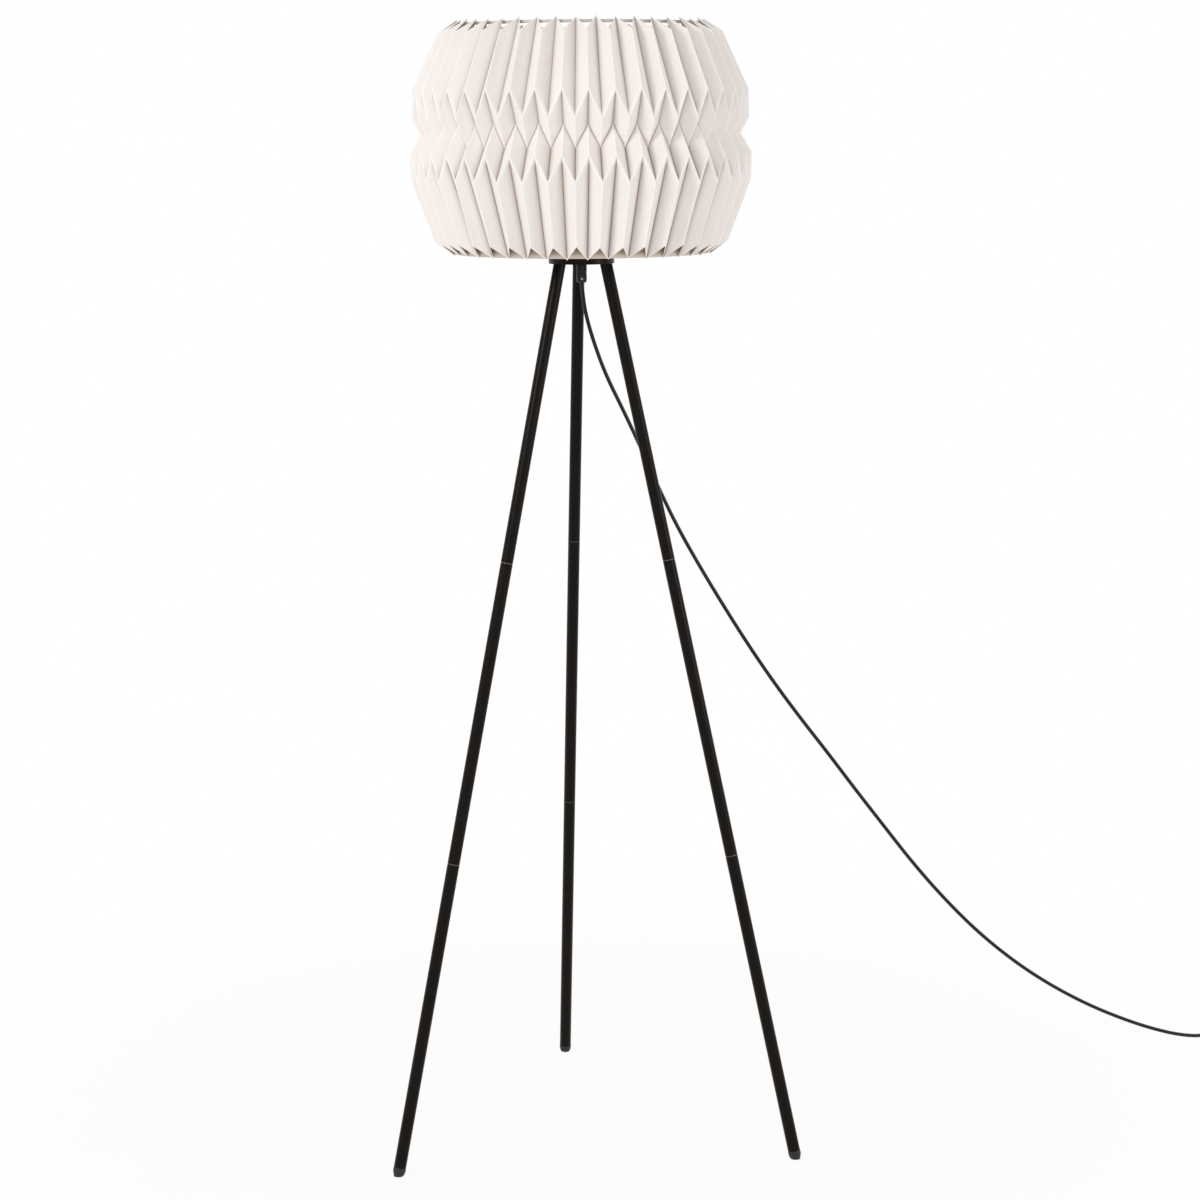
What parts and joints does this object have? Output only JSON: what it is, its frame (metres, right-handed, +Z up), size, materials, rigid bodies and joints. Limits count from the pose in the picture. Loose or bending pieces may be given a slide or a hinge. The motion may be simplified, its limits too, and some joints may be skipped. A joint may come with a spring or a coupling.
{
  "type": "floor lamp",
  "caption": "Floor lamp with a pleated folded-paper drum shade on a slim black tripod stand, with a cord, foot switch and plug.",
  "frame": {"origin": "on the floor, at the middle of the outer box of the lamp without its cord", "axes": "+Z up along the lamp, +Y towards the rear leg, +X towards the side the cord leaves"},
  "size_m": [1.4044, 0.5282, 1.482],
  "materials": {
    "stand_black": "satin black powder coat",
    "zinc_steel": "zinc plated",
    "foot_plastic": "matte",
    "black_plastic": "satin",
    "switch_plastic": "satin gloss",
    "cord_rubber": "soft satin",
    "cord_jacket": "glossy jacket",
    "pin_nickel": "polished",
    "contact_brass": "plain",
    "bulb_cap_metal": "plain",
    "bulb_white_plastic": "satin",
    "opal_glass": "opal",
    "carrier_white": "white powder coat",
    "shade_paper": "matte, folded"
  },
  "bodies": {
    "lamp": {"cord_coil": "cord_jacket", "cord_gland": "black_plastic", "foot_left": "foot_plastic", "foot_rear": "foot_plastic", "foot_right": "foot_plastic", "holder_contact": "contact_brass", "lamp_cord": "cord_jacket", "lampholder_cap": "black_plastic", "lampholder_sleeve": "black_plastic", "leg_lower_left": "stand_black", "leg_lower_rear": "stand_black", "leg_lower_right": "stand_black", "leg_middle_left": "stand_black", "leg_middle_rear": "stand_black", "leg_middle_right": "stand_black", "leg_upper_left": "stand_black", "leg_upper_rear": "stand_black", "leg_upper_right": "stand_black", "paper_shade": "shade_paper", "plug_body": "cord_rubber", "plug_cord": "cord_jacket", "plug_pin_left": "pin_nickel", "plug_pin_right": "pin_nickel", "plug_relief": "cord_rubber", "shade_carrier": "carrier_white", "shade_ring_nut": "black_plastic", "shade_top_ring": "carrier_white", "shade_upright_1": "carrier_white", "shade_upright_2": "carrier_white", "shade_upright_3": "carrier_white", "switch_cord": "cord_jacket", "switch_lower_shell": "switch_plastic", "switch_relief_in": "cord_rubber", "switch_relief_out": "cord_rubber", "switch_upper_shell": "switch_plastic", "threaded_stem": "zinc_steel", "top_plate": "stand_black"},
    "switch_button": {"switch_button": "switch_plastic"},
    "bulb_contact": {"bulb_tip": "contact_brass"},
    "bulb": {"bulb_cap": "bulb_cap_metal", "bulb_housing": "bulb_white_plastic", "bulb_dome": "opal_glass"}
  },
  "joints": [
    {"name": "foot_switch_press", "type": "slide", "parent": "lamp", "child": "switch_button", "axis": [0, 0, -1], "range_m": [0, 0.003], "stiffness_N_per_m": 900},
    {"name": "bulb_rise", "type": "slide", "parent": "lamp", "child": "bulb_contact", "axis": [0, 0, 1], "range_m": [0, 0.0128]},
    {"name": "bulb_turn", "type": "hinge", "parent": "bulb_contact", "child": "bulb", "pos_m": [0, -0.04325, 1.2038], "axis": [0, 0, 1], "range_deg": [0, 1260]}
  ],
  "couplings": [
    {"joint": "bulb_rise", "follows": "bulb_turn", "m_per_rad": 0.00057773}
  ]
}
